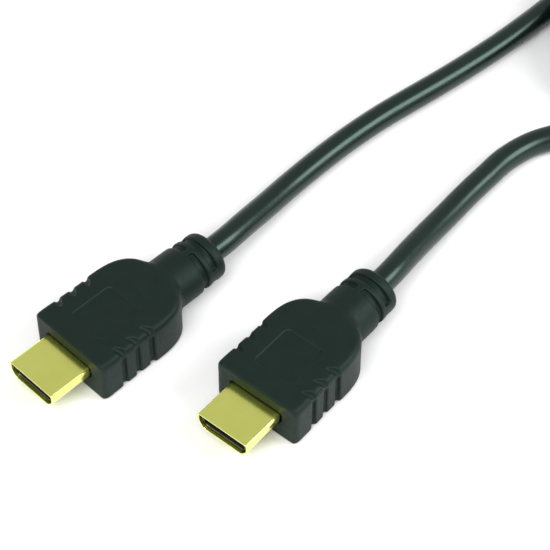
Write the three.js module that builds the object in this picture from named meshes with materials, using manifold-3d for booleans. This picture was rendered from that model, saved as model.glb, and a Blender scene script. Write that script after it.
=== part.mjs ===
// A 1.5 m audio and video lead with a gold-plated plug at each end, lying on a level floor.
// Millimetres, +Z up. The plugs point towards -Y, and the cord runs back from them towards +Y.
// The origin is on the floor, at the middle of the box round the two plugs.

import * as THREE from 'three';
import { mergeVertices } from 'three/addons/utils/BufferGeometryUtils.js';
import Module from 'manifold-3d';

const wasm = await Module();
wasm.setup();

// Moulded grip: length from its front face, half-widths, thickness and rounding.
const bodyLength = 28.9;
const frontHalfWidth = 11.45;
const waistHalfWidth = 11.2;
const shoulderHalfWidth = 11.45;
const waistFromFront = 13.5;
const shoulderFromFront = 16.1;
const shoulderPower = 2.8;
const bodyThickness = 12.0;
const cornerRadius = 1.8;
const edgeRadius = 1.3;

// Finger grip on each side: a sloping ledge with upright grooves.
const ledgeStart = 4.4;
const ledgeEnd = 20.6;
const plateauHalfWidth = 8.3;
const ledgeDrop = 1.6;
const grooveCount = 3;
const firstGroove = 6.6;
const groovePitch = 3.85;
const grooveWidth = 1.2;
const grooveDepth = 0.8;

// Strain relief: an oval neck with two grooves and a slightly slimmer end ring.
const neckLength = 14.1;
const neckHalfWidth = 6.65;
const neckOverlap = 5;
const endRingLength = 2.95;
const endRingHalfWidth = 6.3;
const ribLength = 1.6;
const neckGrooveLength = 1.5;
const neckGrooveDepth = 0.8;
const endRingRound = 0.8;

// Plug shell: a drawn metal tube whose lower corners slope inwards.
const shellWidth = 13.9;
const shellHeight = 4.45;
const shellWall = 0.35;
const shellBaseWidth = 10.9;
const shellSideHeight = 2.6;
const shellCorner = 0.6;
const shellReach = 10.9;
const shellSeat = 8;

// Insulator inside the shell, with a slot lined by the contacts.
const insulatorSetback = 0.7;
const slotWidth = 11.2;
const slotHeight = 1.7;
const slotDepth = 8.6;
const upperContacts = 10;
const lowerContacts = 9;
const contactPitch = 1;
const contactWidth = 0.45;
const contactThickness = 0.3;
const contactProud = 0.14;
const contactLength = 8;
const contactSetback = 0.8;

// Clearances between pieces.
const seatGap = 0.3;
const contactGap = 0.08;

// Where each cord leaves its strain relief, and how far each plug leans from the Y axis.
const exitHalfSpread = 17.6;
const exitY = { a: 17.8, b: 36.1 };
const plugLean = 2.55;

// Cord, and the points of its two uncoiled stretches.
const cordDiameter = 6.2;
const cordRadius = cordDiameter / 2;
const cordSides = 10;
const stepsPerDiameter = 0.5;
const legHeight = bodyThickness / 2;
const legPointsA = [
  [-17.45, 23.0, 5.95], [-18.05, 30.0, 5.3], [-18.85, 38.0, 4.2], [-19.6, 46.5, 3.4], [-19.85, 55.0, 3.15],
  [-19.7, 63.5, 3.15], [-19.2, 71.8, 3.15], [-18.3, 80.3, 3.15], [-17.0, 88.5, 3.15],
  [-15.5, 97.5, 3.15], [-14.1, 107.0, 3.15], [-12.9, 117.5, 3.15], [-12.1, 128.5, 3.15],
  [-11.7, 140.0, 3.15], [-11.6, 150.5, 3.15], [-11.6, 160.5, 3.12],
];
const legPointsB = [
  [17.1, 42.3, 5.9], [16.0, 49.5, 5.1], [14.9, 57.5, 4.0], [14.1, 65.5, 3.35], [13.45, 73.5, 3.15],
  [13.15, 81.5, 3.15], [13.1, 89.5, 3.15], [15.2, 98.7, 3.15], [21.3, 108.3, 3.15], [29.8, 114.5, 3.15],
  [36.6, 117.2, 3.15], [46.5, 121.1, 3.15], [59.8, 131.8, 3.5], [68.0, 146.7, 4.8], [70.0, 164.4, 6.6],
  [65.0, 181.4, 8.2], [53.7, 195.2, 9.1], [37.1, 203.3, 9.3], [15.9, 202.6, 9.3], [-1.8, 192.0, 9.3],
  [-10.1, 179.5, 9.3], [-13.2, 166.6, 9.3],
];

// Coil of the rest of the cord: three turns side by side in two layers.
const coilCentre = new THREE.Vector2(25.6, 160.5);
const coilInnerTurn = 24.8;
const turnsAcross = 3;
const coilLayers = 2;
const coilSegments = 60;

// Tie round the coil, where the coil faces the plugs.
const tieAngle = 249;
const tieWidth = 6;
const tieThickness = 0.8;

const cornerSegments = 4;
const degrees = Math.PI / 180;

const plastic = new THREE.MeshStandardMaterial({ color: 0x26322e, roughness: 0.5, metalness: 0 });
const sheath = new THREE.MeshStandardMaterial({ color: 0x1f2625, roughness: 0.45, metalness: 0 });
const gold = new THREE.MeshStandardMaterial({ color: 0xd8c860, roughness: 0.25, metalness: 1 });
const nylon = new THREE.MeshStandardMaterial({ color: 0x121413, roughness: 0.6, metalness: 0 });
const contactGold = new THREE.MeshStandardMaterial({ color: 0xcfae4a, roughness: 0.2, metalness: 1 });
const strap = new THREE.MeshStandardMaterial({ color: 0x181a1a, roughness: 0.85, metalness: 0 });

function toSolid(geometry) {
  const bare = geometry.index ? geometry.toNonIndexed() : geometry.clone();
  bare.deleteAttribute('normal');
  bare.deleteAttribute('uv');
  const merged = mergeVertices(bare, 1e-5);
  return new wasm.Manifold(new wasm.Mesh({
    numProp: 3,
    vertProperties: new Float32Array(merged.attributes.position.array),
    triVerts: new Uint32Array(merged.index.array),
  }));
}

function toGeometry(solid) {
  const mesh = solid.getMesh();
  const geometry = new THREE.BufferGeometry();
  geometry.setAttribute('position', new THREE.BufferAttribute(new Float32Array(mesh.vertProperties), 3));
  geometry.setIndex(new THREE.BufferAttribute(new Uint32Array(mesh.triVerts), 1));
  geometry.computeVertexNormals();
  return geometry;
}

function namedMesh(name, geometry, material) {
  const mesh = new THREE.Mesh(geometry, material);
  mesh.name = name;
  return mesh;
}

// A block given by its lowest and highest corners.
function block(low, high) {
  const size = new THREE.Vector3().subVectors(high, low);
  const middle = new THREE.Vector3().addVectors(high, low).multiplyScalar(0.5);
  return new THREE.BoxGeometry(size.x, size.y, size.z).translate(middle.x, middle.y, middle.z);
}

// A section drawn in X and Z, drawn out along Y from one place to another.
function alongY(section, fromY, toY) {
  const geometry = new THREE.ExtrudeGeometry(section, { depth: toY - fromY, bevelEnabled: false });
  return geometry.rotateX(Math.PI / 2).translate(0, toY, 0);
}

function polygon(points) {
  return new THREE.Shape(points.map(([x, y]) => new THREE.Vector2(x, y)));
}

// Half of the grip's outline seen from above, from the front corner to the middle of the back.
function gripHalfOutline() {
  const points = [];
  for (let i = 0; i <= cornerSegments; i += 1) {
    const angle = (i / cornerSegments) * Math.PI / 2;
    const x = frontHalfWidth - cornerRadius * (1 - Math.sin(angle));
    points.push([x, cornerRadius * (1 - Math.cos(angle))]);
  }
  points.push([waistHalfWidth, waistFromFront]);
  const shoulderPoints = 12;
  for (let i = 0; i <= shoulderPoints; i += 1) {
    const angle = (i / shoulderPoints) * Math.PI / 2;
    const x = shoulderHalfWidth * Math.cos(angle) ** (2 / shoulderPower);
    const run = (bodyLength - shoulderFromFront) * Math.sin(angle) ** (2 / shoulderPower);
    points.push([x, shoulderFromFront + run]);
  }
  return points;
}

function gripSolid() {
  const half = gripHalfOutline();
  const mirrored = half.slice(0, -1).reverse().map(([x, y]) => [-x, y]);
  const outline = polygon([...half, ...mirrored]);
  return toSolid(new THREE.ExtrudeGeometry(outline, {
    depth: bodyThickness - 2 * edgeRadius,
    bevelEnabled: true,
    bevelThickness: edgeRadius,
    bevelSize: edgeRadius,
    bevelOffset: -edgeRadius,
    bevelSegments: 3,
  }).translate(0, 0, edgeRadius));
}

// What is cut from one side of the grip: the two sloping ledges and the upright grooves.
function gripCuts(side) {
  const top = bodyThickness;
  const outside = shoulderHalfWidth + 1;
  const slope = ledgeDrop / (waistHalfWidth - plateauHalfWidth);
  const ledgeOutside = ledgeDrop + slope * (outside - waistHalfWidth);
  const cuts = [];
  for (const upper of [true, false]) {
    const z = (height) => (upper ? top - height : height);
    const corners = [
      [side * plateauHalfWidth, z(0)], [side * outside, z(ledgeOutside)],
      [side * outside, z(-1)], [side * plateauHalfWidth, z(-1)],
    ];
    cuts.push(toSolid(alongY(polygon(corners), ledgeStart, ledgeEnd)));
  }
  const inner = waistHalfWidth - grooveDepth;
  const grooveSection = polygon([
    [side * plateauHalfWidth, top + 1], [side * plateauHalfWidth, top - grooveDepth],
    [side * inner, top - grooveDepth - slope * (inner - plateauHalfWidth)],
    [side * inner, grooveDepth + slope * (inner - plateauHalfWidth)],
    [side * plateauHalfWidth, grooveDepth], [side * plateauHalfWidth, -1],
    [side * outside, -1], [side * outside, top + 1],
  ]);
  for (let i = 0; i < grooveCount; i += 1) {
    const y = firstGroove + i * groovePitch;
    cuts.push(toSolid(alongY(grooveSection, y - grooveWidth / 2, y + grooveWidth / 2)));
  }
  return cuts;
}

// The strain relief, turned about the cord's line and flattened to the grip's thickness.
function neckSolid() {
  const end = bodyLength + neckLength;
  const valley = neckHalfWidth - neckGrooveDepth;
  const profile = [new THREE.Vector2(0, bodyLength - neckOverlap)];
  const add = (radius, y) => profile.push(new THREE.Vector2(radius, y));
  add(neckHalfWidth, bodyLength - neckOverlap);
  const ringStart = end - endRingLength;
  const ribStart = ringStart - neckGrooveLength - ribLength;
  for (const grooveEnd of [ribStart, ringStart]) {
    add(neckHalfWidth, grooveEnd - neckGrooveLength);
    add(valley, grooveEnd - neckGrooveLength + 0.2);
    add(valley, grooveEnd - 0.2);
    add(neckHalfWidth, grooveEnd);
  }
  add(endRingHalfWidth, end - endRingRound);
  add(endRingHalfWidth - endRingRound, end);
  profile.push(new THREE.Vector2(0, end));
  const flattening = bodyThickness / (2 * neckHalfWidth);
  const turned = new THREE.LatheGeometry(profile, 32).scale(1, 1, flattening);
  return toSolid(turned.translate(0, 0, bodyThickness / 2));
}

// The shell's section, moved outwards by grow, in X and Z about the middle of its height.
function shellSection(grow) {
  const half = shellWidth / 2 + grow;
  const base = shellBaseWidth / 2 + grow * 0.7;
  const top = shellHeight / 2 + grow;
  const knee = shellHeight / 2 - shellSideHeight - grow * 0.4;
  const round = Math.max(shellCorner + grow, 0.1);
  const section = new THREE.Shape();
  section.moveTo(-base, -top);
  section.lineTo(base, -top);
  section.lineTo(half, knee);
  section.lineTo(half, top - round);
  section.absarc(half - round, top - round, round, 0, Math.PI / 2);
  section.lineTo(round - half, top);
  section.absarc(round - half, top - round, round, Math.PI / 2, Math.PI);
  section.lineTo(-half, knee);
  section.closePath();
  return polygon(section.getPoints(3).slice(0, -1).map((point) => [point.x, point.y]));
}

function socketSolid() {
  const socket = alongY(shellSection(seatGap), -1, shellSeat + seatGap);
  return toSolid(socket.translate(0, 0, bodyThickness / 2));
}

function mouldingGeometry() {
  let moulding = gripSolid();
  for (const side of [-1, 1]) {
    for (const cut of gripCuts(side)) {
      moulding = moulding.subtract(cut);
    }
  }
  return toGeometry(moulding.add(neckSolid()).subtract(socketSolid()));
}

function shellGeometry() {
  const section = shellSection(0);
  section.holes.push(new THREE.Path(shellSection(-shellWall).getPoints()));
  return alongY(section, -shellReach, shellSeat).translate(0, 0, bodyThickness / 2);
}

// Both rows of contacts: each one's sideways place, and +1 for the upper row or -1 for the lower.
function contactPlaces() {
  const places = [];
  for (const [count, row] of [[upperContacts, 1], [lowerContacts, -1]]) {
    for (let i = 0; i < count; i += 1) {
      places.push({ x: (i - (count - 1) / 2) * contactPitch, row });
    }
  }
  return places;
}

// A contact's bar, or the channel it lies in when grown by a gap.
function contactBar({ x, row }, gap) {
  const middle = bodyThickness / 2;
  const front = insulatorSetback - shellReach + contactSetback;
  const face = slotHeight / 2 - contactProud;
  const heights = [face - (gap > 0 ? contactProud : 0), face + contactThickness + gap];
  const z = heights.map((height) => middle + row * height).sort((low, high) => low - high);
  const halfWidth = contactWidth / 2 + gap;
  return block(
    new THREE.Vector3(x - halfWidth, front - gap, z[0]),
    new THREE.Vector3(x + halfWidth, front + contactLength + gap, z[1]),
  );
}

function insulatorGeometry() {
  const front = insulatorSetback - shellReach;
  const section = shellSection(-shellWall - seatGap);
  let insulator = toSolid(alongY(section, front, shellSeat).translate(0, 0, bodyThickness / 2));
  const slot = block(
    new THREE.Vector3(-slotWidth / 2, front - 1, (bodyThickness - slotHeight) / 2),
    new THREE.Vector3(slotWidth / 2, front + slotDepth, (bodyThickness + slotHeight) / 2),
  );
  insulator = insulator.subtract(toSolid(slot));
  for (const place of contactPlaces()) {
    insulator = insulator.subtract(toSolid(contactBar(place, contactGap)));
  }
  return toGeometry(insulator);
}

// One plug, drawn with the middle of its front face at x = 0, y = 0, and set down at its cord exit.
function plug(letter, exitX, lean) {
  const group = new THREE.Group();
  group.add(namedMesh(`plug_${letter}_moulding`, mouldingGeometry(), plastic));
  group.add(namedMesh(`plug_${letter}_shell`, shellGeometry(), gold));
  group.add(namedMesh(`plug_${letter}_insulator`, insulatorGeometry(), nylon));
  contactPlaces().forEach((place, index) => {
    const number = String(index + 1).padStart(2, '0');
    group.add(namedMesh(`plug_${letter}_contact_${number}`, contactBar(place, 0), contactGold));
  });
  const exitReach = bodyLength + neckLength;
  group.rotation.z = lean * degrees;
  group.position.x = exitX + exitReach * Math.sin(lean * degrees);
  group.position.y = exitY[letter] - exitReach * Math.cos(lean * degrees);
  return group;
}

// The coil's ring about its own centre, moved outwards by grow.
function coilRing(grow) {
  const inner = coilInnerTurn - cordRadius - grow;
  const outer = coilInnerTurn + (turnsAcross - 0.5) * cordDiameter + grow;
  const height = coilLayers * cordDiameter;
  const round = cordRadius + grow;
  const corners = [
    [outer - round, height + grow - round, 0], [inner + round, height + grow - round, 1],
    [inner + round, round - grow, 2], [outer - round, round - grow, 3],
  ];
  const profile = [];
  for (const [x, z, quarter] of corners) {
    for (let i = 0; i <= cornerSegments; i += 1) {
      const angle = (quarter + i / cornerSegments) * Math.PI / 2;
      profile.push(new THREE.Vector2(x + round * Math.cos(angle), z + round * Math.sin(angle)));
    }
  }
  profile.push(profile[0].clone());
  return new THREE.LatheGeometry(profile, coilSegments).rotateX(Math.PI / 2);
}

function coilGeometry() {
  const inner = coilInnerTurn - cordRadius;
  const outer = coilInnerTurn + (turnsAcross - 0.5) * cordDiameter;
  const notch = block(
    new THREE.Vector3(inner - 1, -tieWidth / 2 - seatGap, -1),
    new THREE.Vector3(outer + 1, tieWidth / 2 + seatGap, tieThickness + seatGap),
  ).rotateZ(tieAngle * degrees);
  return toGeometry(toSolid(coilRing(0)).subtract(toSolid(notch)));
}

function tieGeometry() {
  const inner = coilInnerTurn - cordRadius - seatGap;
  const outer = coilInnerTurn + (turnsAcross - 0.5) * cordDiameter + seatGap;
  const height = coilLayers * cordDiameter + seatGap;
  const outside = polygon([
    [inner - tieThickness, 0], [outer + tieThickness, 0],
    [outer + tieThickness, height + tieThickness], [inner - tieThickness, height + tieThickness],
  ]);
  outside.holes.push(new THREE.Path([
    new THREE.Vector2(inner, tieThickness), new THREE.Vector2(inner, height),
    new THREE.Vector2(outer, height), new THREE.Vector2(outer, tieThickness),
  ]));
  return alongY(outside, -tieWidth / 2, tieWidth / 2);
}

// One uncoiled stretch of cord: a tube from a plug's strain relief to the coil.
function legGeometry(exitX, lean, letter, listed) {
  const back = new THREE.Vector3(-Math.sin(lean * degrees), Math.cos(lean * degrees), 0);
  const start = new THREE.Vector3(exitX, exitY[letter], legHeight).addScaledVector(back, seatGap);
  const points = listed.map(([x, y, z]) => new THREE.Vector3(x, y, z));
  const path = new THREE.CatmullRomCurve3([start, ...points], false, 'centripetal');
  const ring = [];
  for (let i = 0; i < cordSides; i += 1) {
    const angle = (i / cordSides) * 2 * Math.PI;
    ring.push([cordRadius * Math.cos(angle), cordRadius * Math.sin(angle)]);
  }
  const steps = Math.ceil(path.getLength() / cordDiameter * stepsPerDiameter);
  const tube = new THREE.ExtrudeGeometry(polygon(ring), { steps, extrudePath: path, bevelEnabled: false });
  const room = coilRing(seatGap).translate(coilCentre.x, coilCentre.y, 0);
  return toGeometry(toSolid(tube).subtract(toSolid(room)));
}

const group = new THREE.Group();
group.add(plug('a', -exitHalfSpread, -plugLean));
group.add(plug('b', exitHalfSpread, plugLean));
group.add(namedMesh('cord_leg_a', legGeometry(-exitHalfSpread, -plugLean, 'a', legPointsA), sheath));
group.add(namedMesh('cord_leg_b', legGeometry(exitHalfSpread, plugLean, 'b', legPointsB), sheath));

const coil = new THREE.Group();
coil.position.set(coilCentre.x, coilCentre.y, 0);
coil.add(namedMesh('cord_coil', coilGeometry(), sheath));
const tie = namedMesh('coil_tie', tieGeometry(), strap);
tie.rotation.z = tieAngle * degrees;
coil.add(tie);
group.add(coil);

export default group;
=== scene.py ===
# The finish of a 1.5 m audio and video lead, which lies on a pale studio floor.
# Lengths here are in millimetres, and MM turns them into metres.

import math

import bpy
import numpy as np
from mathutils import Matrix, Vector


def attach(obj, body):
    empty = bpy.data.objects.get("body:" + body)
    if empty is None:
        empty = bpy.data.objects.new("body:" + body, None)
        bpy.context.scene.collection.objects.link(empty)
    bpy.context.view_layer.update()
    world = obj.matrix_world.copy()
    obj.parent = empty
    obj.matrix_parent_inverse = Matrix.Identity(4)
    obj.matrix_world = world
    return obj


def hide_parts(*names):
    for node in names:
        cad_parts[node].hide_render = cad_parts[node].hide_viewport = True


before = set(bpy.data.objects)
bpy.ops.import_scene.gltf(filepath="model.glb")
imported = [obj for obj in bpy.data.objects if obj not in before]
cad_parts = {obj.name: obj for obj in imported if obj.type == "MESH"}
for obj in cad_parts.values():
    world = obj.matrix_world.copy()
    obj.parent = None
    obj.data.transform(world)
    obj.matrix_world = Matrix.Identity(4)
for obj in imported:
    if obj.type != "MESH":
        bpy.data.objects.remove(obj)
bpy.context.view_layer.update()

MM = 0.001
BODY = "root"

# Grip, in the plug's own frame: y runs back from the grip's front face, z up from its underside.
GRIP_LENGTH = 28.9
FRONT_HALF_WIDTH = 11.45
WAIST_HALF_WIDTH = 11.2
SHOULDER_HALF_WIDTH = 11.45
WAIST_FROM_FRONT = 13.5
SHOULDER_FROM_FRONT = 16.1
# How square the rounded shoulder is: 2 is an ellipse.
SHOULDER_POWER = 2.8
THICKNESS = 12.0
MIDDLE = THICKNESS / 2
CORNER_RADIUS = 1.8
CORNER_STEPS = 8
SHOULDER_STEPS = 32
TOP_ROUND = 2.2
UNDER_ROUND = 1.0
FRONT_EDGE = 0.7
FLAT_EDGE = 0.4
# The long edges run straight on through the front corners, and join the outline behind them.
STRAIGHT_UNTIL = 6.0
STRAIGHT_FADES_OVER = 3.0

# Finger grooves in each side: each cuts the top edge, then runs down the side.
# Its top end, its floor and the end of its slant are measured out from the grip's middle line.
# A spread below 1 widens it along the grip.
GROOVE_PLACES = (6.3, 10.45, 14.6)
GROOVE_WIDTH = 1.2
GROOVE_SPREAD = 0.85
GROOVE_SLANT = 0.2
GROOVE_FLOOR = 10.98
GROOVE_TOP = 9.4
GROOVE_SLANTS_TO = 11.0
GROOVE_SLOPE_DROP = 1.3
GROOVE_DEEPENS = 0.7
GROOVE_DEEPENS_BELOW = 10.4
GROOVE_DEEPENS_OVER = 2.0
GROOVE_FLOOR_ROUND = 0.6
GROOVE_FOOT_ROUND = 0.4
GROOVE_LIP_ROUND = 0.3
# The dimple at each groove's top end: how far out it lies, and its half length, width and depth.
DIMPLE_OUT = 9.85
DIMPLE_SLANT = 0.4
DIMPLE_SIZE = (1.4, 0.8, 0.95)
DIMPLE_LIP_ROUND = 0.15

# Strain relief, behind the grip, with a slot to each side and then one above and one below.
NECK_LENGTH = 14.1
NECK_HALF_WIDTH = 6.65
NECK_START = 22.0
NECK_START_ROUND = 0.5
NECK_BLEND = 1.5
NECK_TAPER_FROM = 33.0
NECK_TAPER = 8.0
NECK_SLOTS = (36.2, 39.3)
# Half of each slot's sweep round the neck, in degrees.
SIDE_SLOT_REACH = 82
TOP_SLOT_REACH = 74
MM_A_DEGREE = NECK_HALF_WIDTH * math.pi / 180
SLOT_WIDTH = 1.7
SLOT_DEPTH = 0.95
SLOT_END_ROUND = 0.5
SLOT_FOOT_ROUND = 0.4
SLOT_LIP_ROUND = 0.3
RING_HALF_WIDTH = 6.3
RING_ROUND = 0.9

# Plain shallow recess for a label on the grip's top.
PANEL_HALF_WIDTH = 5.2
PANEL_FROM = 5.5
PANEL_TO = 17.3
PANEL_DEPTH = 0.45
PANEL_CORNER = 1.6
PANEL_LIP_ROUND = 0.1

# The box in which the moulding's surface is looked for, and the size of its cells.
NET_LOW = (-12.6, -0.9, -0.6)
NET_HIGH = (12.6, 43.9, 12.6)
NET_STEP = 0.21

# Metal shell, with its socket in the grip.
SHELL_WIDTH = 13.9
SHELL_HEIGHT = 4.45
SHELL_WALL = 0.35
SHELL_BASE_WIDTH = 10.9
SHELL_SIDE_HEIGHT = 2.6
SHELL_CORNER = 0.6
SHELL_CORNER_STEPS = 6
SHELL_REACH = 10.9
SHELL_SEAT = 8.0
SHELL_LIP = 0.14
SHELL_LIP_STEPS = 6
SHELL_RINGS = 12
SHELL_INNER_RINGS = (-5.0, 0.0, SHELL_SEAT)
SHELL_SPACING = 0.35
SHELL_SMOOTHINGS = 3
SOCKET_GAP = 0.3

# Each plug's cord exit on the floor plan, and its lean from the Y axis in degrees.
PLUGS = {"a": ((-17.6, 17.8), -2.55), "b": ((17.6, 36.1), 2.55)}
# How far the exit lies behind the grip's front face, and above the floor.
EXIT_REACH = GRIP_LENGTH + NECK_LENGTH
EXIT_HEIGHT = MIDDLE

# Cord: its two uncoiled stretches, then the coil's rule.
CORD_DIAMETER = 6.2
CORD_RADIUS = CORD_DIAMETER / 2
CORD_SIDES = 32
STEPS_A_SPAN = 6
LEG_A = [
    (-17.45, 23.0, 5.95), (-18.05, 30.0, 5.3), (-18.85, 38.0, 4.2), (-19.6, 46.5, 3.4),
    (-19.85, 55.0, 3.15), (-19.7, 63.5, 3.15), (-19.2, 71.8, 3.15), (-18.3, 80.3, 3.15),
    (-17.0, 88.5, 3.15), (-15.5, 97.5, 3.15), (-14.1, 107.0, 3.15), (-12.9, 117.5, 3.15),
    (-12.1, 128.5, 3.15), (-11.7, 140.0, 3.15), (-11.6, 150.5, 3.15), (-11.6, 160.5, 3.12),
]
LEG_B = [
    (17.1, 42.3, 5.9), (16.0, 49.5, 5.1), (14.9, 57.5, 4.0), (14.1, 65.5, 3.35),
    (13.45, 73.5, 3.15), (13.15, 81.5, 3.15), (13.1, 89.5, 3.15), (15.2, 98.7, 3.15),
    (21.3, 108.3, 3.15), (29.8, 114.5, 3.15), (36.6, 117.2, 3.15), (46.5, 121.1, 3.15),
    (59.8, 131.8, 3.5), (68.0, 146.7, 4.8), (70.0, 164.4, 6.6), (65.0, 181.4, 8.2),
    (53.7, 195.2, 9.1), (37.1, 203.3, 9.3), (15.9, 202.6, 9.3), (-1.8, 192.0, 9.3),
    (-10.1, 179.5, 9.3), (-13.2, 166.6, 9.3),
]
COIL_CENTRE = (25.6, 160.5)
COIL_INNER_TURN = 24.8
COIL_OUTER_TURN = COIL_INNER_TURN + 2 * CORD_DIAMETER
COIL_FROM = 0.04
COIL_TURNS = 4.97
POINTS_A_TURN = 24
# The turn at which the cord starts to step in or out, and by how much.
COIL_JOGS = (
    (0.5, -CORD_DIAMETER), (1.5, -CORD_DIAMETER), (2.85, CORD_DIAMETER),
    (3.85, CORD_DIAMETER), (4.85, 7.4),
)
JOG_TURNS = 0.5
CLIMB_FROM = 2.3
CLIMB_TURNS = 0.4

# Tie: the cord lifts over it where it passes under the coil.
TIE_ANGLE = math.radians(249.0)
TIE_LIFT = 0.52
TIE_LIFT_REACH = 18.0
TIE_WIDTH = 6.0
TIE_THICKNESS = 0.5
TIE_EDGE = 0.3 * TIE_THICKNESS
TIE_CORNER_STEPS = 8
TIE_GAP = 0.05
TIE_TOP_GAP = 0.02
# Its loose end, which flares a little at the top.
LAP_HEIGHTS = np.linspace(2.2, 10.0, 14)
LAP_WIDTH = TIE_WIDTH - 0.6
LAP_FLARE = 0.35
LAP_FLARE_FROM = 8.0
LAP_FLARE_OVER = 3.0

# Camera, set by both plugs' outlines in the photograph.
CAMERA_AT = (199.22, -197.32, 363.44)
CAMERA_TOWARDS = (-5.25, 26.72, 0.0)
CAMERA_LENS = 133.57
CAMERA_SENSOR = 36.0
CAMERA_CLIP = (0.01, 20.0)

# Softboxes: where they hang, how wide they are in metres, and their power.
KEY_LIGHT = ((512, 410, 480), 0.42, 3.4)
FILL_LIGHT = ((150, -450, 700), 0.7, 5.6)
LIGHTS_TOWARDS = (0.0, 30.0, 0.0)
# The floor, in metres, lies a hair under the object.
FLOOR_HALF = 2.0
FLOOR_DROP = 0.00002
WHITE = (1.0, 1.0, 1.0)
OVERHEAD = (0.55, 0.55, 0.55)
OVERHEAD_FADE = (0.05, 0.45)

# Each material's main colour, then the darker and lighter shades that it varies between.
# The plastics are black with a green cast, and GLOSS_TINT gives their gloss the same cast.
GLOSS_TINT = (0.68, 1.0, 0.87)
PLASTIC = (0.0045, 0.0080, 0.0070)
PLASTIC_DARK = (0.0040, 0.0084, 0.0068)
PLASTIC_LIGHT = (0.0050, 0.0102, 0.0084)
PLASTIC_SPECULAR = 0.28
SHEATH = (0.0045, 0.0095, 0.0078)
SHEATH_DARK = (0.0034, 0.0074, 0.0060)
SHEATH_LIGHT = (0.0044, 0.0088, 0.0073)
GOLD = (0.91, 0.94, 0.21)
GOLD_DARK = (0.89, 0.92, 0.195)
GOLD_LIGHT = (0.93, 0.96, 0.225)
GOLD_COAT = 0.8
GOLD_COAT_ROUGHNESS = 0.15
CONTACT_GOLD = (0.78, 0.58, 0.20)
INSULATOR = (0.010, 0.012, 0.011)
STRAP = (0.014, 0.016, 0.016)
STRAP_DARK = (0.010, 0.012, 0.012)
STRAP_LIGHT = (0.026, 0.028, 0.028)
FLOOR_GREY = (0.92, 0.92, 0.92)
# The parts of a noise's range over which the colour and the roughness vary.
COLOR_SPAN = (0.35, 0.65)
RIB_SPAN = (0.2, 0.8)
ROUGHNESS_SPAN = (0.3, 0.7)


# Shared shapes.

def smoothstep(t):
    t = np.clip(t, 0.0, 1.0)
    return t * t * (3 - 2 * t)


def quarter(steps, first=0):
    """Angles over a quarter turn, from the given quarter on."""
    return [(first + i / steps) * math.pi / 2 for i in range(steps + 1)]


def unit(vectors):
    return vectors / np.linalg.norm(vectors, axis=1)[:, None]


def along_loop(loop):
    """The direction along a closed loop at each of its points."""
    return unit(np.roll(loop, -1, axis=0) - np.roll(loop, 1, axis=0))


def skin(rings, sides, closed):
    """Quads from each ring of points to the next: closed, back to the first, or open, with end caps."""
    faces = []
    for i in range(rings if closed else rings - 1):
        j = (i + 1) % rings
        for k in range(sides):
            m = (k + 1) % sides
            faces.append((i * sides + k, i * sides + m, j * sides + m, j * sides + k))
    if not closed:
        faces.append(tuple(range(sides))[::-1])
        faces.append(tuple((rings - 1) * sides + k for k in range(sides)))
    return faces


def set_down(points, turn, x, y):
    """Points turned about the upright axis and moved to a place on the floor plan."""
    cos, sin = math.cos(turn), math.sin(turn)
    across = x + points[:, 0] * cos - points[:, 1] * sin
    back = y + points[:, 0] * sin + points[:, 1] * cos
    return np.stack([across, back, points[:, 2]], axis=1)


def new_object(name, data):
    piece = bpy.data.objects.new(name, data)
    bpy.context.scene.collection.objects.link(piece)
    return piece


def mesh_object(name, points, faces):
    """A smooth mesh piece from points in millimetres and its faces."""
    mesh = bpy.data.meshes.new(name)
    mesh.from_pydata((np.asarray(points) * MM).tolist(), [], [tuple(map(int, f)) for f in faces])
    mesh.validate()
    mesh.polygons.foreach_set("use_smooth", np.ones(len(mesh.polygons), dtype=bool))
    mesh.update()
    return new_object(name, mesh)


def aim(thing, place, towards):
    """Sets a camera or light at a place, and turns it towards another."""
    thing.location = Vector(place) * MM
    look = Vector(towards) * MM - thing.location
    thing.rotation_euler = look.to_track_quat("-Z", "Y").to_euler()


# Camera.

def make_camera():
    data = bpy.data.cameras.new("camera")
    data.lens = CAMERA_LENS
    data.sensor_width = CAMERA_SENSOR
    data.clip_start, data.clip_end = CAMERA_CLIP
    camera = new_object("camera", data)
    aim(camera, CAMERA_AT, CAMERA_TOWARDS)
    bpy.context.scene.camera = camera


make_camera()


# Cord.

def coil_points():
    """The coil's middle line: turns step inwards on the floor, then climb and step outwards."""
    turns = np.arange(COIL_FROM, COIL_TURNS, 1 / POINTS_A_TURN)
    radius = np.full_like(turns, COIL_OUTER_TURN)
    for start, amount in COIL_JOGS:
        radius += amount * smoothstep((turns - start) / JOG_TURNS)
    height = CORD_RADIUS + CORD_DIAMETER * smoothstep((turns - CLIMB_FROM) / CLIMB_TURNS)
    angle = np.radians(180 - 360 * turns)
    off_tie = np.angle(np.exp(1j * (angle - TIE_ANGLE))) * radius
    height += TIE_LIFT * smoothstep(1 - np.abs(off_tie) / TIE_LIFT_REACH)
    x = COIL_CENTRE[0] + radius * np.cos(angle)
    y = COIL_CENTRE[1] + radius * np.sin(angle)
    return np.stack([x, y, height], axis=1)


def through(points, steps):
    """A smooth line through the points, with so many steps from each to the next."""
    points = np.asarray(points, dtype=float)
    first, last = 2 * points[0] - points[1], 2 * points[-1] - points[-2]
    padded = np.vstack([first, points, last])
    line = []
    for i in range(1, len(padded) - 2):
        p = padded[i - 1:i + 3]
        t = np.concatenate([[0], np.cumsum(np.sqrt(np.linalg.norm(np.diff(p, axis=0), axis=1)))])
        for u in np.linspace(t[1], t[2], steps, endpoint=False):
            a = [((t[k + 1] - u) * p[k] + (u - t[k]) * p[k + 1]) / (t[k + 1] - t[k]) for k in range(3)]
            b = [((t[k + 2] - u) * a[k] + (u - t[k]) * a[k + 1]) / (t[k + 2] - t[k]) for k in range(2)]
            line.append(((t[2] - u) * b[0] + (u - t[1]) * b[1]) / (t[2] - t[1]))
    line.append(points[-1])
    return np.array(line)


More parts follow.
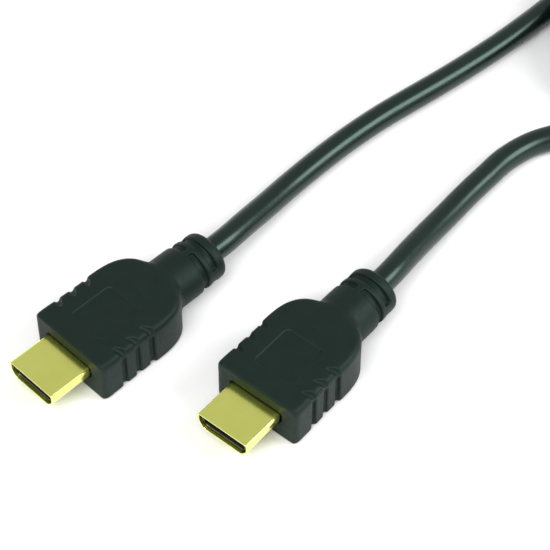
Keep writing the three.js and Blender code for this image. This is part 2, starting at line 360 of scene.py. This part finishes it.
def exit_point(letter):
    (x, y), _ = PLUGS[letter]
    return (x, y, EXIT_HEIGHT)


def tube(line, radius, sides):
    """A round tube along a line, its rings carried on without twisting, and its ends closed."""
    along = unit(np.gradient(line, axis=0))
    side = np.cross(along[0], (0.0, 0.0, 1.0))
    angles = np.linspace(0, 2 * math.pi, sides, endpoint=False)
    points = []
    for place, ahead in zip(line, along):
        side = side - ahead * (side @ ahead)
        side /= np.linalg.norm(side)
        up = np.cross(side, ahead)
        ring = np.outer(np.cos(angles), side) + np.outer(np.sin(angles), up)
        points.append(place + radius * ring)
    return np.concatenate(points), skin(len(line), sides, closed=False)


def make_cord():
    """The cord, the line that it follows, and its length in metres."""
    stops = [exit_point("a"), *LEG_A, *coil_points(), *LEG_B[::-1], exit_point("b")]
    line = through(stops, STEPS_A_SPAN)
    points, faces = tube(line, CORD_RADIUS, CORD_SIDES)
    length = float(np.linalg.norm(np.diff(line, axis=0), axis=1).sum()) * MM
    return mesh_object("cord", points, faces), line, length


cord, cord_route, cord_length = make_cord()
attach(cord, BODY)
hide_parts("cord_leg_a", "cord_leg_b", "cord_coil")


# Tie.

def tie_path():
    """The strap's middle line round the coil, as places out from the coil's middle and heights."""
    half = TIE_THICKNESS / 2
    corner = CORD_RADIUS
    near = COIL_INNER_TURN - CORD_RADIUS - half - TIE_GAP + corner
    far = COIL_OUTER_TURN + CORD_RADIUS + half + TIE_GAP - corner
    high = 2 * CORD_DIAMETER + TIE_LIFT + half + TIE_TOP_GAP - corner
    low = half + corner
    path = []
    for turn, (x, z) in enumerate([(far, high), (near, high), (near, low), (far, low)]):
        for angle in quarter(TIE_CORNER_STEPS, turn):
            path.append((x + corner * math.cos(angle), z + corner * math.sin(angle)))
    return path


def ribbon(path, width, closed):
    """A strap along a path of (out, up) places, its edges bevelled, as points and faces."""
    path = np.asarray(path, dtype=float)
    along = along_loop(path) if closed else unit(np.gradient(path, axis=0))
    normal = np.stack([along[:, 1], -along[:, 0]], axis=1)
    side, face = width / 2, TIE_THICKNESS / 2
    section = [
        (-side, TIE_EDGE - face), (-side, face - TIE_EDGE),
        (TIE_EDGE - side, face), (side - TIE_EDGE, face),
        (side, face - TIE_EDGE), (side, TIE_EDGE - face),
        (side - TIE_EDGE, -face), (TIE_EDGE - side, -face),
    ]
    points = []
    for place, out in zip(path, normal):
        for across, proud in section:
            spot = place + out * proud
            points.append((spot[0], across, spot[1]))
    return np.array(points), skin(len(path), len(section), closed)


def make_tie():
    """The strap round the coil, with its loose end lapped over the outer side."""
    loop = tie_path()
    points, faces = ribbon(loop, TIE_WIDTH, closed=True)
    outside = max(out for out, _ in loop) + TIE_THICKNESS
    lap = []
    for z in LAP_HEIGHTS:
        flare = max(0.0, (z - LAP_FLARE_FROM) / LAP_FLARE_OVER) ** 2
        lap.append((outside + LAP_FLARE * flare, z))
    lap_points, lap_faces = ribbon(lap, LAP_WIDTH, closed=False)
    faces += [tuple(k + len(points) for k in face) for face in lap_faces]
    points = set_down(np.concatenate([points, lap_points]), TIE_ANGLE, *COIL_CENTRE)
    return mesh_object("tie_strap", points, faces)


tie = make_tie()
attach(tie, BODY)
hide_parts("coil_tie")


# Mouldings, as signed distances in the plug's own frame: negative inside, positive outside.

def soft_min(a, b, k):
    """The smaller of two distances, with the edge between them rounded over k."""
    gap = np.maximum(k - np.abs(a - b), 0.0) / k
    return np.minimum(a, b) - gap * gap * k / 4


def soft_max(a, b, k):
    return -soft_min(-a, -b, k)


def grip_outline():
    """The grip's outline seen from above, from the front's right end round to its left end."""
    half = []
    for angle in quarter(CORNER_STEPS):
        x = FRONT_HALF_WIDTH - CORNER_RADIUS * (1 - math.sin(angle))
        half.append((x, CORNER_RADIUS * (1 - math.cos(angle))))
    half.append((WAIST_HALF_WIDTH, WAIST_FROM_FRONT))
    for angle in quarter(SHOULDER_STEPS):
        x = SHOULDER_HALF_WIDTH * math.cos(angle) ** (2 / SHOULDER_POWER)
        run = (GRIP_LENGTH - SHOULDER_FROM_FRONT) * math.sin(angle) ** (2 / SHOULDER_POWER)
        half.append((x, SHOULDER_FROM_FRONT + run))
    return half + [(-x, y) for x, y in half[-2::-1]]


def shell_section():
    """The shell's outer section about its own middle, clockwise from the middle of the top."""
    top, side = SHELL_HEIGHT / 2, SHELL_WIDTH / 2
    half = [(0.0, top)]
    for angle in quarter(SHELL_CORNER_STEPS)[::-1]:
        half.append((
            side - SHELL_CORNER + SHELL_CORNER * math.cos(angle),
            top - SHELL_CORNER + SHELL_CORNER * math.sin(angle),
        ))
    half += [(side, top - SHELL_SIDE_HEIGHT), (SHELL_BASE_WIDTH / 2, -top), (0.0, -top)]
    return half + [(-x, z) for x, z in half[-2:0:-1]]


def outline_distance(outline, x, y):
    """Signed distance from a closed outline on the plane."""
    nearest = np.full(x.shape, np.inf)
    inside = np.zeros(x.shape, dtype=bool)
    for (x0, y0), (x1, y1) in zip(outline, outline[1:] + outline[:1]):
        dx, dy = x1 - x0, y1 - y0
        t = np.clip(((x - x0) * dx + (y - y0) * dy) / (dx * dx + dy * dy), 0, 1)
        nearest = np.minimum(nearest, (x - x0 - t * dx) ** 2 + (y - y0 - t * dy) ** 2)
        if y0 != y1:
            crosses = (y0 > y) != (y1 > y)
            inside ^= crosses & (x < dx * (y - y0) / dy + x0)
    distance = np.sqrt(nearest)
    return np.where(inside, -distance, distance)


def grip_field(x, y, z):
    """The grip without its grooves."""
    plan = outline_distance(grip_outline(), x[:, :, 0], y[:, :, 0])[:, :, None]
    straight = smoothstep((STRAIGHT_UNTIL - y) / STRAIGHT_FADES_OVER)
    from_side = (np.abs(x) - FRONT_HALF_WIDTH) * straight + plan * (1 - straight)
    from_faces = np.abs(z - MIDDLE) - MIDDLE
    radius = np.where(z > MIDDLE, TOP_ROUND, UNDER_ROUND)
    side, level = from_side + radius, from_faces + radius
    inner = np.minimum(np.maximum(side, level), 0.0)
    slab = np.hypot(np.maximum(side, 0.0), np.maximum(level, 0.0)) + inner - radius
    slab = soft_max(slab, plan, FRONT_EDGE)
    return soft_max(slab, np.maximum(-y, from_faces), FRONT_EDGE)


def cut_grooves(grip, x, y, z):
    """The grip with its finger grooves and the dimples at their top ends."""
    out = np.abs(x)
    slope = GROOVE_SLOPE_DROP / (GROOVE_FLOOR - GROOVE_TOP)
    sloping = ((out - GROOVE_TOP) * slope + z - THICKNESS) / math.hypot(slope, 1.0)
    deeper = smoothstep((GROOVE_DEEPENS_BELOW - z) / GROOVE_DEEPENS_OVER)
    wall = out - GROOVE_FLOOR + GROOVE_DEEPENS * deeper
    floor = soft_max(wall, sloping, GROOVE_FLOOR_ROUND)
    drift = GROOVE_SLANT * (np.clip(out, GROOVE_TOP, GROOVE_SLANTS_TO) - GROOVE_TOP)
    length, width, depth = DIMPLE_SIZE
    past = np.clip(out - (WAIST_HALF_WIDTH - TOP_ROUND), 0.0, TOP_ROUND)
    fall = THICKNESS - TOP_ROUND + np.sqrt(TOP_ROUND ** 2 - past ** 2)
    for place in GROOVE_PLACES:
        across = np.abs(y - (place + drift)) * GROOVE_SPREAD - GROOVE_WIDTH / 2
        groove = soft_max(across, -floor, GROOVE_FOOT_ROUND)
        grip = soft_max(grip, -groove, GROOVE_LIP_ROUND)
        along = (out - DIMPLE_OUT) / length
        aslant = (y - place - DIMPLE_SLANT * (out - DIMPLE_OUT)) / width
        dimple = np.sqrt(along ** 2 + aslant ** 2 + ((z - fall) / depth) ** 2)
        grip = soft_max(grip, (1 - dimple) * width, DIMPLE_LIP_ROUND)
    return grip


def neck_field(x, y, z):
    """The strain relief, with its slots and its end ring."""
    flattening = NECK_HALF_WIDTH / MIDDLE
    reach = np.hypot(x, (z - MIDDLE) * flattening)
    slimming = smoothstep((y - NECK_TAPER_FROM) / NECK_TAPER)
    radius = NECK_HALF_WIDTH + (RING_HALF_WIDTH - NECK_HALF_WIDTH) * slimming
    neck = (reach - radius) / flattening
    angle = np.degrees(np.arctan2(np.abs(x), z - MIDDLE))
    side_span = (np.abs(angle - 90) - SIDE_SLOT_REACH) * MM_A_DEGREE
    top_span = (np.minimum(angle, 180 - angle) - TOP_SLOT_REACH) * MM_A_DEGREE
    foot = radius - SLOT_DEPTH - reach
    for span, place in zip((side_span, top_span), NECK_SLOTS):
        slot = soft_max(span, np.abs(y - place) - SLOT_WIDTH / 2, SLOT_END_ROUND)
        neck = soft_max(neck, -soft_max(slot, foot, SLOT_FOOT_ROUND), SLOT_LIP_ROUND)
    neck = soft_max(neck, NECK_START - y, NECK_START_ROUND)
    return soft_max(neck, y - EXIT_REACH, 2 * RING_ROUND)


def panel_field(x, y, z):
    """The label recess."""
    along = np.abs(y - (PANEL_FROM + PANEL_TO) / 2) - (PANEL_TO - PANEL_FROM) / 2
    panel = soft_max(np.abs(x) - PANEL_HALF_WIDTH, along, PANEL_CORNER)
    return np.maximum(panel, THICKNESS - PANEL_DEPTH - z)


def socket_field(x, y, z):
    """The hole in the grip's front that the shell sits in."""
    section = outline_distance(shell_section(), x[:, 0, :], z[:, 0, :] - MIDDLE)[:, None, :]
    return np.maximum(section - SOCKET_GAP, y - SHELL_SEAT - SOCKET_GAP)


def moulding_field(x, y, z):
    """Grip and strain relief in one, with the label recess and the socket cut out."""
    grip = cut_grooves(grip_field(x, y, z), x, y, z)
    whole = soft_min(grip, neck_field(x, y, z), NECK_BLEND)
    whole = soft_max(whole, np.abs(z - MIDDLE) - MIDDLE, FLAT_EDGE)
    whole = soft_max(whole, -panel_field(x, y, z), PANEL_LIP_ROUND)
    return np.maximum(whole, -socket_field(x, y, z))


# A cell's twelve edges, as pairs of its corners.
EDGES = [
    (a, b) for a in np.ndindex(2, 2, 2) for b in np.ndindex(2, 2, 2)
    if sum(np.subtract(b, a)) == 1 and min(np.subtract(b, a)) == 0
]


def net_points(field, inside):
    """A point in each cell that the surface crosses, in cell widths, and the cells' point numbers."""
    cells = tuple(n - 1 for n in field.shape)
    filled = np.zeros(cells, dtype=np.int8)
    for corner in np.ndindex(2, 2, 2):
        filled += inside[tuple(slice(c, c + n) for c, n in zip(corner, cells))]
    crossed = (filled > 0) & (filled < 8)
    number = np.full(cells, -1)
    number[crossed] = np.arange(crossed.sum())
    cell = np.argwhere(crossed)
    total = np.zeros((len(cell), 3))
    hits = np.zeros(len(cell))
    for a, b in EDGES:
        at_a = field[tuple((cell + a).T)]
        at_b = field[tuple((cell + b).T)]
        cut = (at_a < 0) != (at_b < 0)
        share = at_a[cut] / (at_a[cut] - at_b[cut])
        total[cut] += np.array(a) + share[:, None] * np.subtract(b, a)
        hits[cut] += 1
    return cell + total / hits[:, None], number


def net_quads(inside, number):
    """A quad round each grid line that the surface crosses, all of them facing outwards."""
    faces = []
    for axis in range(3):
        first, second = [k for k in range(3) if k != axis]
        ahead = [slice(None)] * 3
        ahead[axis] = slice(1, None)
        behind = [slice(None)] * 3
        behind[axis] = slice(None, -1)
        changes = np.argwhere(inside[tuple(ahead)] != inside[tuple(behind)])
        changes = changes[(changes[:, first] > 0) & (changes[:, second] > 0)]
        corners = []
        for back in ((0, 0), (1, 0), (1, 1), (0, 1)):
            corner = changes.copy()
            corner[:, first] -= back[0]
            corner[:, second] -= back[1]
            corners.append(number[tuple(corner.T)])
        quads = np.stack(corners, axis=1)
        starts_inside = inside[tuple(changes.T)]
        flip = starts_inside if axis == 1 else ~starts_inside
        quads[flip] = quads[flip][:, ::-1]
        faces.append(quads)
    return np.concatenate(faces)


def moulding_mesh():
    """The moulding's surface as points and quads, in the plug's own frame."""
    low, high = np.array(NET_LOW), np.array(NET_HIGH)
    counts = np.ceil((high - low) / NET_STEP).astype(int) + 1
    x, y, z = [start + NET_STEP * np.arange(count) for start, count in zip(low, counts)]
    grid = np.meshgrid(x, y, z, indexing="ij")
    field = moulding_field(*grid)
    inside = field < 0
    points, number = net_points(field, inside)
    return low + NET_STEP * points, net_quads(inside, number)


def plug_place(points, letter):
    """Points of the plug's own frame, set down where that plug lies."""
    (exit_x, exit_y), lean = PLUGS[letter]
    lean = math.radians(lean)
    front_x = exit_x + EXIT_REACH * math.sin(lean)
    front_y = exit_y - EXIT_REACH * math.cos(lean)
    return set_down(points, lean, front_x, front_y)


moulding_points, moulding_faces = moulding_mesh()
mouldings = []
for letter in PLUGS:
    piece = mesh_object(f"moulding_{letter}", plug_place(moulding_points, letter), moulding_faces)
    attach(piece, BODY)
    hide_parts(f"plug_{letter}_moulding")
    mouldings.append(piece)


# Metal shells.

def shell_loop():
    """The shell's outer section in short, slightly smoothed steps, with its outward normals."""
    outline = shell_section()
    dense = []
    for (x0, z0), (x1, z1) in zip(outline, outline[1:] + outline[:1]):
        count = max(1, int(math.hypot(x1 - x0, z1 - z0) / SHELL_SPACING))
        for i in range(count):
            dense.append((x0 + (x1 - x0) * i / count, z0 + (z1 - z0) * i / count))
    loop = np.array(dense)
    for _ in range(SHELL_SMOOTHINGS):
        loop = 0.5 * loop + 0.25 * (np.roll(loop, 1, axis=0) + np.roll(loop, -1, axis=0))
    along = along_loop(loop)
    return loop, np.stack([-along[:, 1], along[:, 0]], axis=1)


def shell_rings():
    """Each ring's place along the shell and its inset: out along it, over the lip and back inside."""
    turn = SHELL_LIP - SHELL_REACH
    rings = [(SHELL_SEAT, 0.0)]
    rings += [(y, 0.0) for y in np.linspace(0.0, turn, SHELL_RINGS)]
    for angle in quarter(SHELL_LIP_STEPS)[1:]:
        rings.append((turn - SHELL_LIP * math.sin(angle), -SHELL_LIP * (1 - math.cos(angle))))
    for angle in quarter(SHELL_LIP_STEPS):
        inset = SHELL_LIP - SHELL_WALL - SHELL_LIP * math.sin(angle)
        rings.append((turn - SHELL_LIP * math.cos(angle), inset))
    return rings + [(y, -SHELL_WALL) for y in SHELL_INNER_RINGS]


def shell_mesh():
    """The shell with its wall and rolled front lip, in the plug's own frame."""
    loop, normal = shell_loop()
    rings = shell_rings()
    points = []
    for y, inset in rings:
        x, z = (loop + normal * inset).T
        points.append(np.stack([x, np.full(len(loop), y), z + MIDDLE], axis=1))
    return np.concatenate(points), skin(len(rings), len(loop), closed=True)


shell_points, shell_faces = shell_mesh()
shells = []
for letter in PLUGS:
    piece = mesh_object(f"shell_{letter}", plug_place(shell_points, letter), shell_faces)
    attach(piece, BODY)
    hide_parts(f"plug_{letter}_shell")
    shells.append(piece)


# Materials. Noise scales are per metre, and bump distances in metres.

def material(name, color, roughness, metallic=0.0, tint=WHITE):
    made = bpy.data.materials.new(name)
    made.use_nodes = True
    shader = made.node_tree.nodes["Principled BSDF"]
    shader.inputs["Base Color"].default_value = (*color, 1.0)
    shader.inputs["Roughness"].default_value = roughness
    shader.inputs["Metallic"].default_value = metallic
    shader.inputs["Specular Tint"].default_value = (*tint, 1.0)
    return made, made.node_tree, shader


def texture(tree, kind, **settings):
    """A texture node that lies on the piece itself, with its settings."""
    place = tree.nodes.new("ShaderNodeTexCoord")
    node = tree.nodes.new(kind)
    for name, value in settings.items():
        node.inputs[name].default_value = value
    tree.links.new(place.outputs["Object"], node.inputs["Vector"])
    return node.outputs["Fac"]


def noise(tree, scale, detail=3.0):
    return texture(tree, "ShaderNodeTexNoise", Scale=scale, Detail=detail)


def ramp(tree, value, low, high, at):
    """Colours that follow a value from low to high between two places in its range."""
    node = tree.nodes.new("ShaderNodeValToRGB")
    for stop, place, color in zip(node.color_ramp.elements, at, (low, high)):
        stop.position = place
        stop.color = (*color, 1.0)
    tree.links.new(value, node.inputs["Fac"])
    return node.outputs["Color"]


def vary_color(tree, shader, value, low, high, at=COLOR_SPAN):
    tree.links.new(ramp(tree, value, low, high, at), shader.inputs["Base Color"])


def vary_roughness(tree, shader, value, low, high):
    node = tree.nodes.new("ShaderNodeMapRange")
    limits = (*ROUGHNESS_SPAN, low, high)
    for name, limit in zip(("From Min", "From Max", "To Min", "To Max"), limits):
        node.inputs[name].default_value = limit
    tree.links.new(value, node.inputs["Value"])
    tree.links.new(node.outputs["Result"], shader.inputs["Roughness"])


def bump(tree, shader, value, distance, strength):
    node = tree.nodes.new("ShaderNodeBump")
    node.inputs["Distance"].default_value = distance
    node.inputs["Strength"].default_value = strength
    tree.links.new(value, node.inputs["Height"])
    tree.links.new(node.outputs["Normal"], shader.inputs["Normal"])


def moulded_plastic():
    """Satin black plastic with a fine moulded grain."""
    made, tree, shader = material("moulded_plastic", PLASTIC, roughness=0.54, tint=GLOSS_TINT)
    vary_color(tree, shader, noise(tree, scale=260.0, detail=4.0), PLASTIC_DARK, PLASTIC_LIGHT)
    vary_roughness(tree, shader, noise(tree, scale=900.0), low=0.50, high=0.58)
    shader.inputs["Specular IOR Level"].default_value = PLASTIC_SPECULAR
    bump(tree, shader, noise(tree, scale=4200.0, detail=2.0), distance=0.00001, strength=0.3)
    return made


def cord_sheath():
    """Glossier extruded sheath."""
    made, tree, shader = material("cord_sheath", SHEATH, roughness=0.27, tint=GLOSS_TINT)
    vary_color(tree, shader, noise(tree, scale=120.0), SHEATH_DARK, SHEATH_LIGHT)
    vary_roughness(tree, shader, noise(tree, scale=500.0), low=0.25, high=0.29)
    bump(tree, shader, noise(tree, scale=2600.0, detail=2.0), distance=0.00001, strength=0.3)
    return made


def gold_plate():
    """Bright greenish yellow plating, slightly cloudy."""
    made, tree, shader = material("gold_plate", GOLD, roughness=0.22, metallic=1.0)
    vary_color(tree, shader, noise(tree, scale=180.0), GOLD_DARK, GOLD_LIGHT)
    vary_roughness(tree, shader, noise(tree, scale=1600.0, detail=4.0), low=0.19, high=0.25)
    shader.inputs["Coat Weight"].default_value = GOLD_COAT
    shader.inputs["Coat Roughness"].default_value = GOLD_COAT_ROUGHNESS
    return made


def contact_gold():
    made, tree, shader = material("contact_gold", CONTACT_GOLD, roughness=0.22, metallic=1.0)
    vary_roughness(tree, shader, noise(tree, scale=4000.0), low=0.16, high=0.30)
    return made


def insulator_plastic():
    made, tree, shader = material("insulator", INSULATOR, roughness=0.5)
    vary_roughness(tree, shader, noise(tree, scale=2500.0), low=0.42, high=0.58)
    bump(tree, shader, noise(tree, scale=6000.0), distance=0.00002, strength=0.3)
    return made


def strap_weave():
    """Matt black webbing with fine ribs."""
    made, tree, shader = material("tie_strap", STRAP, roughness=0.85)
    ribs = texture(tree, "ShaderNodeTexWave", Scale=420.0, Distortion=1.5)
    vary_color(tree, shader, ribs, STRAP_DARK, STRAP_LIGHT, RIB_SPAN)
    bump(tree, shader, ribs, distance=0.0001, strength=0.6)
    return made


def put_on(pieces, made):
    for piece in pieces:
        piece.data.materials.clear()
        piece.data.materials.append(made)


put_on(mouldings, moulded_plastic())
put_on(shells, gold_plate())
put_on([cord], cord_sheath())
put_on([tie], strap_weave())

carried_over = {"insulator": insulator_plastic(), "contact": contact_gold()}
for name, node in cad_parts.items():
    for word, made in carried_over.items():
        if word in name:
            for slot in node.material_slots:
                slot.material = made


# Floor and light.

def make_floor():
    half = FLOOR_HALF
    data = bpy.data.meshes.new("floor")
    corners = [(-half, -half, 0), (half, -half, 0), (half, half, 0), (-half, half, 0)]
    data.from_pydata(corners, [], [(0, 1, 2, 3)])
    floor = new_object("floor", data)
    made, _, _ = material("floor", FLOOR_GREY, roughness=0.9)
    data.materials.append(made)
    floor.location.z = -FLOOR_DROP


def softbox(name, place, size, power):
    data = bpy.data.lights.new(name, "AREA")
    data.shape = "DISK"
    data.size = size
    data.energy = power
    aim(new_object(name, data), place, LIGHTS_TOWARDS)


def make_world():
    """A plain studio surround, white at floor level and dimmer overhead."""
    world = bpy.data.worlds.new("studio")
    world.use_nodes = True
    tree = world.node_tree
    place = tree.nodes.new("ShaderNodeTexCoord")
    parts = tree.nodes.new("ShaderNodeSeparateXYZ")
    tree.links.new(place.outputs["Generated"], parts.inputs["Vector"])
    shade = ramp(tree, parts.outputs["Z"], WHITE, OVERHEAD, OVERHEAD_FADE)
    tree.links.new(shade, tree.nodes["Background"].inputs["Color"])
    bpy.context.scene.world = world


make_floor()
make_world()
softbox("key", *KEY_LIGHT)
softbox("fill", *FILL_LIGHT)
bpy.context.scene.view_settings.view_transform = "Standard"
